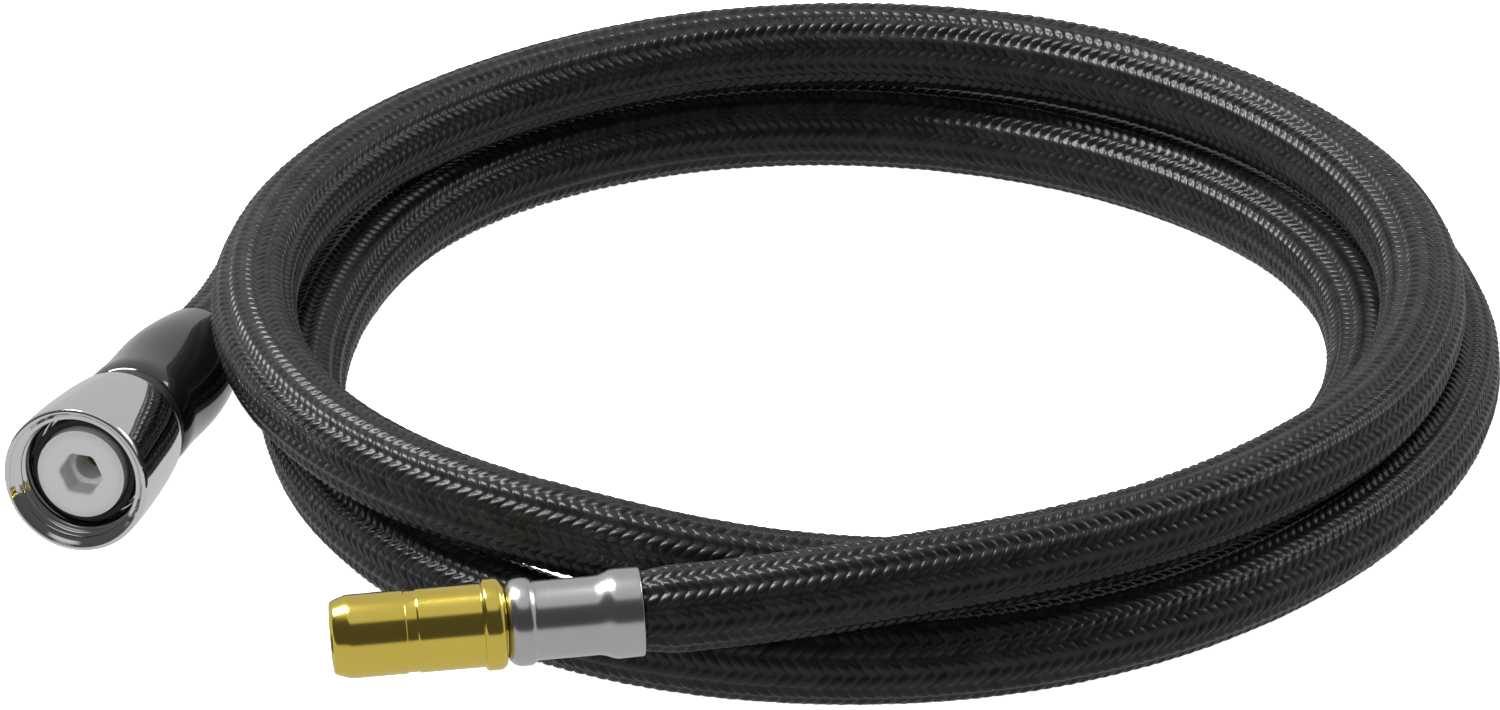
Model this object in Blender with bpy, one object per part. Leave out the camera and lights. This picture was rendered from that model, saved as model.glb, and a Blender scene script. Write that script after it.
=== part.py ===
"""Braided pull-out spray hose, lying in a loose coil of nearly three turns.

One end is a turned brass plug for a push-fit coupling, held by a crimped steel ferrule. The
other end is a conical union nut and a conical cover, which turn on a stem crimped in the hose.
Units are metres, +Z is up, the floor is z = 0 and the coil's bounding box is centred on the
origin. Run with: blender --background --python part.py
"""

import math

import bmesh
import bpy
import numpy as np
from mathutils import Matrix, Vector

MM = 0.001
FIT_GAP = 0.3 * MM  # between two pieces that touch
SLIP_GAP = 0.4 * MM  # end play of the pieces that turn

# Hose: a woven sleeve over an inner tube
HOSE_RADIUS = 7.5 * MM
BRAID_WALL = 1.1 * MM
LINER_WALL = 1.9 * MM
HOSE_SIDES = 12
LINER_SIDES = 8
STATIONS_PER_TURN = 24
SETTLE_LENGTH = 5.0 * MM  # over which the crimped hose swells back to its free size

# Crimp: how the hose is squeezed under a ferrule
CRIMP_SQUEEZE = 1.75 * MM
SKIRT_SQUEEZE = 0.75 * MM
CRIMPED_BRAID_WALL = 0.65 * MM
CRIMPED_LINER_WALL = 0.9 * MM

# Ferrule, the same at both ends: skirt, shoulder, squeezed body and bead
FERRULE_WALL = 0.6 * MM
SKIRT_LENGTH = 4.6 * MM
SHOULDER_LENGTH = 2.6 * MM
FERRULE_BODY_LENGTH = 11.1 * MM
BEAD_LENGTH = 4.6 * MM
BEAD_HEIGHT = 0.8 * MM

# Barbed tail, the same in both ends of the hose
WATER_BORE_RADIUS = 2.3 * MM
BARB_DEPTH = 0.45 * MM
BARB_COUNT = 4
BARB_TIP_INSET = 3.0 * MM  # from the ferrule's skirt rim to the tail's tip
NECK_RADIUS = 5.4 * MM

# Plug
PLUG_RADIUS = 7.1 * MM
PLUG_LENGTH = 29.2 * MM
COLLAR_STEP = 0.7 * MM
COLLAR_LENGTH = 3.6 * MM
COLLAR_ROUND = 1.1 * MM
LAND_START = 12.5 * MM  # from the nose to the shallow groove
LAND_WIDTH = 1.9 * MM
LAND_DEPTH = 0.16 * MM
NOSE_RADIUS = 6.1 * MM
NOSE_BEVEL_LENGTH = 2.9 * MM
PLUG_BORE_RADIUS = 4.4 * MM
PLUG_BORE_DEPTH = 9.5 * MM

# Union nut
NUT_LENGTH = 26.0 * MM
NUT_WALL = 3.35 * MM  # from the thread to the outside of the mouth
NUT_BACK_WALL = 1.3 * MM
NUT_SHOULDER_STEP = 1.2 * MM
NUT_RIM_EDGE = 0.5 * MM
NUT_RIM_WIDTH = 0.45 * MM
NUT_MOUTH_CHAMFER = 1.9 * MM
THREAD_RADIUS = 9.6 * MM
THREAD_DEPTH = 10.8 * MM
NUT_LIP_LENGTH = 2.4 * MM

# Nipple in the nut, with a hexagon socket in its head
SEAL_WIDTH = 1.75 * MM  # from the head to the thread, where the washer lies
NIPPLE_HEAD_INSET = 3.1 * MM  # from the nut's mouth to the head's face
NIPPLE_FLANGE_INSET = 7.4 * MM
NIPPLE_FLANGE_LENGTH = 2.0 * MM
NIPPLE_NECK_RADIUS = 7.2 * MM
NIPPLE_BORE_RADIUS = 2.7 * MM
HEX_ACROSS_FLATS = 6.5 * MM
HEX_DEPTH = 5.0 * MM
WASHER_THICKNESS = 2.1 * MM
GLIDE_THICKNESS = 0.7 * MM

# Swivel stem in the nipple
STEM_RADIUS = 4.7 * MM
STEM_FLANGE_RADIUS = 6.6 * MM
STEM_FLANGE_LENGTH = 1.2 * MM
O_RING_SECTION = 0.6 * MM
O_RING_GROOVE_WIDTH = 1.8 * MM
O_RING_SHARES = (0.19, 0.44)  # of the stem's length, from its front face
SNAP_RING_SHARE = 0.785
SNAP_RING_THICKNESS = 0.8 * MM
SNAP_RING_WIDTH = 1.4 * MM
SNAP_RING_OPENING = math.radians(24)

# Cone cover and the ring in front of it
CONE_LENGTH = 36.3 * MM
CONE_WALL = 1.6 * MM
CONE_TAIL_WALL = 0.5 * MM
SPIGOT_WALL = 0.65 * MM
SPIGOT_GRIP = 5.6 * MM  # the length that clips on the nipple's neck
COLLAR_RING_LENGTH = 3.0 * MM
COLLAR_RING_INSET = 0.35 * MM  # of its outside from the nut's back edge

SEGMENTS = 28  # round the pieces that show
INNER_SEGMENTS = 20  # round the pieces that don't

# Sizes that follow from those above
CRIMPED_BRAID_RADIUS = HOSE_RADIUS - CRIMP_SQUEEZE
CRIMPED_BRAID_BORE = CRIMPED_BRAID_RADIUS - CRIMPED_BRAID_WALL
CRIMPED_LINER_RADIUS = CRIMPED_BRAID_BORE - FIT_GAP
CRIMPED_LINER_BORE = CRIMPED_LINER_RADIUS - CRIMPED_LINER_WALL
LINER_RADIUS = HOSE_RADIUS - BRAID_WALL - FIT_GAP
BARB_RADIUS = CRIMPED_LINER_BORE - FIT_GAP
FERRULE_BORE = CRIMPED_BRAID_RADIUS + FIT_GAP
SKIRT_BORE = HOSE_RADIUS - SKIRT_SQUEEZE + FIT_GAP
BEAD_START = SKIRT_LENGTH + SHOULDER_LENGTH + FERRULE_BODY_LENGTH
FERRULE_LENGTH = BEAD_START + BEAD_LENGTH
HOSE_INSERTION = BEAD_START
COLLAR_BACK = FERRULE_LENGTH + FIT_GAP
COLLAR_RADIUS = PLUG_RADIUS + COLLAR_STEP
STEM_BORE = STEM_RADIUS + FIT_GAP
FLANGE_RADIUS = THREAD_RADIUS - FIT_GAP - 0.05 * MM
NIPPLE_FLANGE_BACK = NIPPLE_FLANGE_INSET + NIPPLE_FLANGE_LENGTH
LIP_BORE = NIPPLE_NECK_RADIUS + FIT_GAP
COLLAR_RING_FRONT = NUT_LENGTH + SLIP_GAP
CONE_FRONT = COLLAR_RING_FRONT + COLLAR_RING_LENGTH + FIT_GAP
CONE_BACK = CONE_FRONT + CONE_LENGTH
NIPPLE_HEAD_RADIUS = THREAD_RADIUS - SEAL_WIDTH
NIPPLE_BACK = CONE_FRONT + 0.1 * MM
STEM_FRONT = THREAD_DEPTH + 3.8 * MM
STEM_SHOULDER = NIPPLE_BACK + SLIP_GAP
STEM_LENGTH = STEM_SHOULDER - STEM_FRONT
O_RING_PLACES = [STEM_LENGTH * share for share in O_RING_SHARES]
SNAP_RING_PLACE = STEM_LENGTH * SNAP_RING_SHARE
SWIVEL_FERRULE_RIM = STEM_SHOULDER + STEM_FLANGE_LENGTH + COLLAR_BACK
SPIGOT_BORE = BEAD_HEIGHT + FERRULE_BORE + FERRULE_WALL + 0.5 * MM
SPIGOT_RADIUS = SPIGOT_BORE + SPIGOT_WALL
NUT_BORE = SPIGOT_RADIUS + FIT_GAP
NUT_BACK_RADIUS = NUT_BORE + NUT_BACK_WALL
NUT_SHOULDER_RADIUS = NUT_BACK_RADIUS + NUT_SHOULDER_STEP
NUT_RADIUS = THREAD_RADIUS + NUT_WALL
NUT_MIDDLE_RADIUS = (NUT_RADIUS + NUT_SHOULDER_RADIUS) / 2
CONE_RADIUS = NUT_BACK_RADIUS

# Where the coil's centre lies, and how its two ends leave it
COIL_CENTRE = Vector((5.0 * MM, 13.75 * MM, 0.0))
PLUG_RIM = Vector((2.5, -131.3, 20.4)) * MM  # skirt rim of the plug's ferrule, from the centre
PLUG_HEADING = math.radians(202.5)
PLUG_RISE = math.radians(-2.8)
NUT_MOUTH = Vector((-110.4, -96.25, 13.8)) * MM  # centre of the nut's mouth, from the centre
NUT_HEADING = math.radians(-90.1)
NUT_RISE = math.radians(4.0)

# The hose from plug to nut: angle round the coil in degrees, distance from its centre, height
ROUTE = (
    (-75, 122.6, 22.6),
    (-60, 116.2, 23.7),
    (-45, 111.6, 23.9),
    (-30, 107.0, 23.6),
    (-15, 103.8, 23.0),
    (0, 101.3, 23.1),
    (30, 99.4, 23.8),
    (60, 101.2, 23.9),
    (90, 105.8, 23.3),
    (120, 106.0, 23.2),
    (150, 102.6, 23.3),
    (165, 102.2, 23.5),
    (180, 102.8, 23.3),
    (210, 105.4, 23.1),
    (240, 109.4, 23.2),
    (255, 109.4, 22.5),
    (262, 108.4, 21.5),
    (270, 107.0, 19.6),
    (285, 102.6, 15.3),
    (300, 98.6, 12.4),
    (330, 92.6, 9.2),
    (360, 90.4, 8.7),
    (390, 92.0, 9.3),
    (420, 97.0, 8.4),
    (450, 103.8, 7.6),
    (480, 106.9, 7.6),
    (510, 102.8, 7.6),
    (540, 95.4, 7.9),
    (570, 97.6, 7.9),
    (600, 107.4, 7.6),
    (630, 117.4, 7.6),
    (660, 117.6, 7.6),
    (690, 109.6, 7.6),
    (720, 105.9, 7.6),
    (750, 107.8, 7.6),
    (780, 114.6, 7.6),
    (810, 122.2, 7.6),
    (840, 123.4, 7.6),
    (870, 119.8, 7.65),
    (885, 115.9, 7.85),
)


def clear_scene():
    for old in list(bpy.data.objects):
        bpy.data.objects.remove(old, do_unlink=True)


def material(name, colour, roughness, metallic=0.0):
    made = bpy.data.materials.new(name)
    made.use_nodes = True
    shader = made.node_tree.nodes["Principled BSDF"]
    shader.inputs["Base Color"].default_value = (*colour, 1.0)
    shader.inputs["Roughness"].default_value = roughness
    shader.inputs["Metallic"].default_value = metallic
    return made


def add_object(name, mesh, finish, parent=None):
    made = bpy.data.objects.new(name, mesh)
    bpy.context.scene.collection.objects.link(made)
    if finish:
        mesh.materials.append(finish)
    made.parent = parent
    return made


def axis_empty(name, start, heading, rise):
    """An empty whose +X points along a fitting's axis, out of the hose."""
    turn = Matrix.Rotation(heading, 4, "Z") @ Matrix.Rotation(-rise, 4, "Y")
    empty = bpy.data.objects.new(name, None)
    empty.matrix_world = Matrix.Translation(COIL_CENTRE + start) @ turn
    bpy.context.scene.collection.objects.link(empty)
    return empty


def mesh_from_rings(name, rings, closed_along):
    """A mesh through rings of equally many points, each ring closed on itself."""
    model = bmesh.new()
    rows = [[model.verts.new(point) for point in ring] for ring in rings]
    count = len(rows[0])
    pairs = list(zip(rows, rows[1:]))
    if closed_along:
        pairs.append((rows[-1], rows[0]))
    for near, far in pairs:
        for k in range(count):
            after = (k + 1) % count
            model.faces.new((near[k], near[after], far[after], far[k]))
    bmesh.ops.recalc_face_normals(model, faces=model.faces)
    mesh = bpy.data.meshes.new(name)
    model.to_mesh(mesh)
    model.free()
    mesh.shade_smooth()
    mesh.set_sharp_from_angle(angle=math.radians(30))
    return mesh


def turned(name, outline, parent, finish, segments=SEGMENTS):
    """A piece turned about its parent's X axis, from a closed outline of (station, radius)."""
    rings = []
    for step in range(segments):
        angle = 2 * math.pi * step / segments
        side, up = math.cos(angle), math.sin(angle)
        rings.append([(station, radius * side, radius * up) for station, radius in outline])
    return add_object(name, mesh_from_rings(name, rings, True), finish, parent)


def backwards(outline):
    """The same outline for the swivel end, whose stations are counted back from the mouth."""
    return [(-station, radius) for station, radius in outline]


def from_skirt(outline):
    """A ferrule-end outline moved to the swivel, where its stations run the other way."""
    return [(SWIVEL_FERRULE_RIM - station, radius) for station, radius in outline]


# ---------------------------------------------------------------- the hose


def route_points():
    """The route's own points, from the plug's ferrule to the cone's tail."""
    plug_out = plug_axis.matrix_world.to_3x3() @ Vector((1, 0, 0))
    nut_out = swivel_axis.matrix_world.to_3x3() @ Vector((1, 0, 0))
    points = [COIL_CENTRE + PLUG_RIM - plug_out * ahead for ahead in (0, 9 * MM)]
    for degrees, distance, height in ROUTE:
        angle = math.radians(degrees)
        flat = Vector((math.cos(angle), math.sin(angle), 0)) * distance * MM
        points.append(COIL_CENTRE + flat + Vector((0, 0, height * MM)))
    mouth = COIL_CENTRE + NUT_MOUTH
    points += [mouth - nut_out * (CONE_BACK + ahead) for ahead in (18 * MM, 0)]
    return np.array(points)


def smooth_curve(points, samples_per_span):
    """Points along the natural cubic spline through the given points."""
    spans = np.linalg.norm(np.diff(points, axis=0), axis=1)
    count = len(points)
    system = np.eye(count)
    target = np.zeros((count, 3))
    for i in range(1, count - 1):
        before, after = spans[i - 1], spans[i]
        system[i, i - 1 : i + 2] = before, 2 * (before + after), after
        slope_after = (points[i + 1] - points[i]) / after
        slope_before = (points[i] - points[i - 1]) / before
        target[i] = 6 * (slope_after - slope_before)
    bends = np.linalg.solve(system, target)
    curve = []
    for i in range(count - 1):
        span = spans[i]
        for t in np.linspace(0, 1, samples_per_span, endpoint=False):
            a, b = 1 - t, t
            bend = (a**3 - a) * bends[i] + (b**3 - b) * bends[i + 1]
            curve.append(a * points[i] + b * points[i + 1] + bend * span**2 / 6)
    curve.append(points[-1])
    return np.array(curve)


def coil_stations():
    """Points on the free hose, at the same angles in every turn."""
    curve = smooth_curve(route_points(), 24)
    flat = curve[:, :2] - np.array(COIL_CENTRE)[:2]
    angles = np.degrees(np.unwrap(np.arctan2(flat[:, 1], flat[:, 0])))
    step = 360 / STATIONS_PER_TURN
    first = math.ceil((angles[0] + 4) / step)
    last = math.floor((angles[-1] - 4) / step)
    wanted = step * np.arange(first, last + 1)
    columns = [np.interp(wanted, angles, curve[:, axis]) for axis in range(3)]
    return np.stack(columns, axis=1)


def crimp_sizes(free, skirt, crimped):
    """(distance into the ferrule, radius) for one surface of the hose, from its cut end."""
    body = SKIRT_LENGTH + SHOULDER_LENGTH
    return (
        (HOSE_INSERTION - FIT_GAP, crimped),
        (body, crimped),
        (SKIRT_LENGTH - FIT_GAP, skirt),
        (0.0, skirt),
        (-SETTLE_LENGTH, free),
    )


def hose_rings(free, skirt, crimped, sides):
    """Rings of one surface of the hose, from its cut end in the plug to that in the swivel."""
    plug_out = plug_axis.matrix_world.to_3x3() @ Vector((1, 0, 0))
    nut_out = swivel_axis.matrix_world.to_3x3() @ Vector((1, 0, 0))
    swivel_rim = COIL_CENTRE + NUT_MOUTH - nut_out * SWIVEL_FERRULE_RIM
    ends = crimp_sizes(free, skirt, crimped)
    centres = [COIL_CENTRE + PLUG_RIM + plug_out * into for into, _ in ends]
    radii = [radius for _, radius in ends]
    stations = coil_stations()
    centres += [Vector(point) for point in stations]
    radii += [free] * len(stations)
    centres += [swivel_rim + nut_out * into for into, _ in reversed(ends)]
    radii += [radius for _, radius in reversed(ends)]
    path = np.array(centres)
    ahead = np.gradient(path, axis=0)
    rings = []
    for centre, direction, radius in zip(centres, ahead, radii):
        tangent = Vector(direction).normalized()
        side = tangent.cross(Vector((0, 0, 1))).normalized()
        up = side.cross(tangent)
        ring = []
        for k in range(sides):
            angle = 2 * math.pi * k / sides
            ring.append(centre + radius * (math.cos(angle) * side + math.sin(angle) * up))
        rings.append(ring)
    return rings


def hose_layer(name, outer, inner, sides, finish):
    """A hollow layer of the hose: its outer rings, then its inner rings back again."""
    rings = hose_rings(*outer, sides) + hose_rings(*inner, sides)[::-1]
    return add_object(name, mesh_from_rings(name, rings, True), finish)


def make_braid():
    outer = (HOSE_RADIUS, HOSE_RADIUS - SKIRT_SQUEEZE, CRIMPED_BRAID_RADIUS)
    free_bore = HOSE_RADIUS - BRAID_WALL
    inner = (free_bore, free_bore - SKIRT_SQUEEZE, CRIMPED_BRAID_BORE)
    finish = material("braid_nylon", (0.012, 0.012, 0.013), 0.42)
    return hose_layer("hose_braid", outer, inner, HOSE_SIDES, finish)


def make_liner():
    outer = (LINER_RADIUS, LINER_RADIUS - SKIRT_SQUEEZE, CRIMPED_LINER_RADIUS)
    free_bore = LINER_RADIUS - LINER_WALL
    inner = (free_bore, min(free_bore, LINER_RADIUS - SKIRT_SQUEEZE - CRIMPED_LINER_WALL),
             CRIMPED_LINER_BORE)
    finish = material("liner_rubber", (0.03, 0.03, 0.03), 0.7)
    return hose_layer("hose_liner", outer, inner, LINER_SIDES, finish)


# ---------------------------------------------------------------- ferrules, barbs and plug


def ferrule_outline():
    """Thin shell from the skirt's rim at station 0 to the rolled end beyond the bead."""
    body = FERRULE_BORE + FERRULE_WALL
    skirt = SKIRT_BORE + FERRULE_WALL - 0.1 * MM
    crown = body + BEAD_HEIGHT
    middle = BEAD_START + BEAD_LENGTH / 2
    outer = [
        (0.0, skirt - 0.25 * MM),
        (0.4 * MM, skirt),
        (SKIRT_LENGTH, skirt),
        (SKIRT_LENGTH + SHOULDER_LENGTH, body),
        (BEAD_START, body),
        (middle - 1.3 * MM, crown - 0.25 * MM),
        (middle, crown),
        (middle + 1.3 * MM, crown - 0.3 * MM),
        (FERRULE_LENGTH, body - 0.3 * MM),
    ]
    inner = [
        (FERRULE_LENGTH, NECK_RADIUS + FIT_GAP),
        (FERRULE_LENGTH - 0.7 * MM, NECK_RADIUS + FIT_GAP),
        (middle + 0.8 * MM, crown - 1.0 * MM),
        (middle - 0.8 * MM, crown - 0.9 * MM),
        (BEAD_START + 0.3 * MM, FERRULE_BORE),
        (SKIRT_LENGTH + SHOULDER_LENGTH - 0.3 * MM, FERRULE_BORE),
        (SKIRT_LENGTH - 0.3 * MM, SKIRT_BORE),
        (0.0, SKIRT_BORE),
    ]
    return outer + inner


def tail_outline():
    """Outside of the barbed tail and its neck, from the tip towards the fitting."""
    end = HOSE_INSERTION + FIT_GAP
    pitch = (end - BARB_TIP_INSET) / (BARB_COUNT + 1)
    points = []
    for index in range(BARB_COUNT):
        tip = BARB_TIP_INSET + index * pitch
        points.append((tip, BARB_RADIUS - BARB_DEPTH))
        points.append((tip + 0.9 * pitch, BARB_RADIUS))
    points.append((end - pitch, BARB_RADIUS - BARB_DEPTH))
    points.append((end, BARB_RADIUS - BARB_DEPTH))
    points.append((end, NECK_RADIUS))
    return points


def plug_outline():
    nose = COLLAR_BACK + PLUG_LENGTH
    collar_front = COLLAR_BACK + COLLAR_LENGTH
    land_front = nose - LAND_START
    land_back = land_front - LAND_WIDTH
    edge = 0.1 * MM
    outer = [
        (COLLAR_BACK, NECK_RADIUS),
        (COLLAR_BACK, COLLAR_RADIUS - COLLAR_ROUND),
        (COLLAR_BACK + 0.35 * COLLAR_ROUND, COLLAR_RADIUS - 0.35 * COLLAR_ROUND),
        (COLLAR_BACK + COLLAR_ROUND, COLLAR_RADIUS),
        (collar_front, COLLAR_RADIUS),
        (collar_front, PLUG_RADIUS),
        (land_back - edge, PLUG_RADIUS),
        (land_back, PLUG_RADIUS - LAND_DEPTH),
        (land_front, PLUG_RADIUS - LAND_DEPTH),
        (land_front + edge, PLUG_RADIUS),
        (nose - NOSE_BEVEL_LENGTH, PLUG_RADIUS),
        (nose - 0.5 * MM, NOSE_RADIUS + 0.4 * MM),
        (nose, NOSE_RADIUS),
    ]
    bore = [
        (nose, PLUG_BORE_RADIUS + 0.4 * MM),
        (nose - 0.4 * MM, PLUG_BORE_RADIUS),
        (nose - PLUG_BORE_DEPTH, PLUG_BORE_RADIUS),
        (nose - PLUG_BORE_DEPTH - 1.2 * MM, WATER_BORE_RADIUS),
        (BARB_TIP_INSET, WATER_BORE_RADIUS),
    ]
    return tail_outline() + outer + bore


def make_plug_end():
    brass = material("plug_brass", (0.72, 0.53, 0.16), 0.2, 1.0)
    steel = material("ferrule_steel", (0.62, 0.62, 0.63), 0.28, 1.0)
    turned("plug", plug_outline(), plug_axis, brass)
    turned("plug_ferrule", ferrule_outline(), plug_axis, steel)


# ---------------------------------------------------------------- swivel end


def stem_outline():
    """Journal with two seal grooves and a snap-ring groove, a flange and the barbed tail."""
    floor = STEM_RADIUS - 2 * O_RING_SECTION - 0.2 * MM
    edges = [(place, O_RING_GROOVE_WIDTH, floor) for place in O_RING_PLACES]
    snap_width = SNAP_RING_THICKNESS + 2 * FIT_GAP
    edges.append((SNAP_RING_PLACE, snap_width, snap_ring_bore() - FIT_GAP))
    front = [(STEM_FRONT, WATER_BORE_RADIUS), (STEM_FRONT, STEM_RADIUS)]
    for place, width, depth in edges:
        start = STEM_FRONT + place - width / 2
        front += [(start, STEM_RADIUS), (start, depth)]
        front += [(start + width, depth), (start + width, STEM_RADIUS)]
    flange_back = STEM_SHOULDER + STEM_FLANGE_LENGTH
    front += [(STEM_SHOULDER, STEM_RADIUS), (STEM_SHOULDER, STEM_FLANGE_RADIUS)]
    front += [(flange_back, STEM_FLANGE_RADIUS), (flange_back, NECK_RADIUS)]
    tail = from_skirt(tail_outline())[::-1]
    tip = SWIVEL_FERRULE_RIM - BARB_TIP_INSET
    return backwards(front + tail + [(tip, WATER_BORE_RADIUS)])


def snap_ring_bore():
    return STEM_RADIUS - 0.5 * MM


def o_ring_outline(place):
    """A round section of eight sides, clear of the groove's floor and of the nipple's bore."""
    middle = STEM_RADIUS - O_RING_SECTION + 0.1 * MM
    outline = []
    for step in range(8):
        angle = 2 * math.pi * step / 8
        station = STEM_FRONT + place + O_RING_SECTION * math.cos(angle)
        outline.append((station, middle + O_RING_SECTION * math.sin(angle)))
    return backwards(outline)


def make_snap_ring(finish):
    """A split ring of square section, open over a short arc."""
    inside = snap_ring_bore()
    outside = inside + SNAP_RING_WIDTH
    near = STEM_FRONT + SNAP_RING_PLACE - SNAP_RING_THICKNESS / 2
    far = near + SNAP_RING_THICKNESS
    corners = [(near, inside), (far, inside), (far, outside), (near, outside)]
    model = bmesh.new()
    sections = []
    turn = 2 * math.pi - SNAP_RING_OPENING
    for step in range(INNER_SEGMENTS + 1):
        angle = SNAP_RING_OPENING / 2 + turn * step / INNER_SEGMENTS
        side, up = math.cos(angle), math.sin(angle)
        row = [model.verts.new((-x, radius * side, radius * up)) for x, radius in corners]
        sections.append(row)
    for before, after in zip(sections, sections[1:]):
        for k in range(4):
            following = (k + 1) % 4
            model.faces.new((before[k], before[following], after[following], after[k]))
    model.faces.new(sections[0])
    model.faces.new(sections[-1])
    bmesh.ops.recalc_face_normals(model, faces=model.faces)
    mesh = bpy.data.meshes.new("stem_snap_ring")
    model.to_mesh(mesh)
    model.free()
    add_object("stem_snap_ring", mesh, finish, swivel_axis)


def nipple_outline():
    chamfer = 0.3 * MM
    groove = snap_ring_bore() + SNAP_RING_WIDTH + FIT_GAP
    groove_width = SNAP_RING_THICKNESS + 2 * FIT_GAP
    groove_middle = STEM_FRONT + SNAP_RING_PLACE
    outer = [
        (NIPPLE_HEAD_INSET, NIPPLE_HEAD_RADIUS - chamfer),
        (NIPPLE_HEAD_INSET + chamfer, NIPPLE_HEAD_RADIUS),
        (NIPPLE_FLANGE_INSET, NIPPLE_HEAD_RADIUS),
        (NIPPLE_FLANGE_INSET, FLANGE_RADIUS),
        (NIPPLE_FLANGE_BACK, FLANGE_RADIUS),
        (NIPPLE_FLANGE_BACK, NIPPLE_NECK_RADIUS),
        (NIPPLE_BACK, NIPPLE_NECK_RADIUS),
    ]
    bore = [
        (NIPPLE_BACK, STEM_BORE),
        (groove_middle + groove_width / 2, STEM_BORE),
        (groove_middle + groove_width / 2, groove),
        (groove_middle - groove_width / 2, groove),
        (groove_middle - groove_width / 2, STEM_BORE),
        (STEM_FRONT - SLIP_GAP, STEM_BORE),
        (STEM_FRONT - SLIP_GAP, NIPPLE_BORE_RADIUS),
        (NIPPLE_HEAD_INSET, NIPPLE_BORE_RADIUS),
    ]
    return backwards(outer + bore)


def make_nipple():
    white = material("nipple_plastic", (0.86, 0.86, 0.85), 0.35)
    nipple = turned("nipple", nipple_outline(), swivel_axis, white)
    cutter_mesh = bpy.data.meshes.new("hex_cutter")
    model = bmesh.new()
    corner = HEX_ACROSS_FLATS / 2 / math.cos(math.pi / 6)
    front, back = -NIPPLE_HEAD_INSET + 1 * MM, -NIPPLE_HEAD_INSET - HEX_DEPTH
    rows = []
    for station in (front, back):
        row = []
        for step in range(6):
            angle = math.pi / 3 * step + math.radians(12)
            point = (station, corner * math.cos(angle), corner * math.sin(angle))
            row.append(model.verts.new(point))
        rows.append(row)
        model.faces.new(row)
    for k in range(6):
        after = (k + 1) % 6
        model.faces.new((rows[0][k], rows[0][after], rows[1][after], rows[1][k]))
    bmesh.ops.recalc_face_normals(model, faces=model.faces)
    model.to_mesh(cutter_mesh)
    model.free()
    cutter = add_object("hex_cutter", cutter_mesh, None, swivel_axis)
    cutter.hide_render = True
    cutter.display_type = "WIRE"
    cut = nipple.modifiers.new("hexagon_socket", "BOOLEAN")
    cut.operation = "DIFFERENCE"
    cut.solver = "EXACT"
    cut.object = cutter


def nut_outline():
    mouth_bore = NUT_RADIUS - NUT_RIM_EDGE - NUT_RIM_WIDTH
    thread_start = NUT_MOUTH_CHAMFER + 0.9 * MM
    outer = [
        (0.0, NUT_RADIUS - NUT_RIM_EDGE),
        (NUT_RIM_EDGE, NUT_RADIUS),
        (0.2 * NUT_LENGTH, NUT_RADIUS - 0.1 * (NUT_RADIUS - NUT_MIDDLE_RADIUS)),
        (0.6 * NUT_LENGTH, NUT_MIDDLE_RADIUS),
        (0.88 * NUT_LENGTH, NUT_SHOULDER_RADIUS),
        (0.97 * NUT_LENGTH, NUT_SHOULDER_RADIUS - 0.4 * NUT_SHOULDER_STEP),
        (NUT_LENGTH, NUT_BACK_RADIUS),
    ]
    bore = [
        (NUT_LENGTH, NUT_BORE),
        (THREAD_DEPTH + NUT_LIP_LENGTH, NUT_BORE),
        (THREAD_DEPTH + NUT_LIP_LENGTH, LIP_BORE),
        (THREAD_DEPTH, LIP_BORE),
        (THREAD_DEPTH, THREAD_RADIUS),
        (thread_start, THREAD_RADIUS),
        (NUT_MOUTH_CHAMFER, THREAD_RADIUS + 0.9 * MM),
        (0.2 * MM, mouth_bore - 0.1 * MM),
        (0.0, mouth_bore),
    ]
    return backwards(outer + bore)


def cone_outline():
    """Spigot in the nut, then the cover, which closes in to the hose at its tail."""
    tail_bore = HOSE_RADIUS + FIT_GAP + 0.05 * MM
    tail = tail_bore + CONE_TAIL_WALL
    fall = CONE_RADIUS - tail
    cavity = CONE_RADIUS - CONE_WALL
    spigot_front = NIPPLE_BACK - SPIGOT_GRIP
    outer = [
        (spigot_front, SPIGOT_RADIUS),
        (CONE_FRONT, SPIGOT_RADIUS),
        (CONE_FRONT, CONE_RADIUS - 0.6 * MM),
        (CONE_FRONT + 0.4 * MM, CONE_RADIUS - 0.25 * MM),
        (CONE_FRONT + 0.2 * CONE_LENGTH, CONE_RADIUS),
        (CONE_FRONT + 0.54 * CONE_LENGTH, CONE_RADIUS),
        (CONE_FRONT + 0.68 * CONE_LENGTH, CONE_RADIUS - 0.14 * fall),
        (CONE_FRONT + 0.8 * CONE_LENGTH, CONE_RADIUS - 0.42 * fall),
        (CONE_FRONT + 0.9 * CONE_LENGTH, CONE_RADIUS - 0.75 * fall),
        (CONE_BACK, tail),
    ]
    bore = [
        (CONE_BACK, tail_bore),
        (CONE_BACK - 5.3 * MM, tail_bore),
        (CONE_BACK - 6.8 * MM, cavity),
        (CONE_FRONT + 1.7 * MM, cavity),
        (CONE_FRONT + 0.7 * MM, SPIGOT_BORE),
        (NIPPLE_BACK + 0.4 * MM, SPIGOT_BORE),
        (NIPPLE_BACK - 0.2 * MM, LIP_BORE),
        (spigot_front, LIP_BORE),
    ]
    return backwards(outer + bore)


def ring_outline(front, length, inside, outside):
    back = front + length
    return backwards([(front, outside), (back, outside), (back, inside), (front, inside)])


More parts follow.
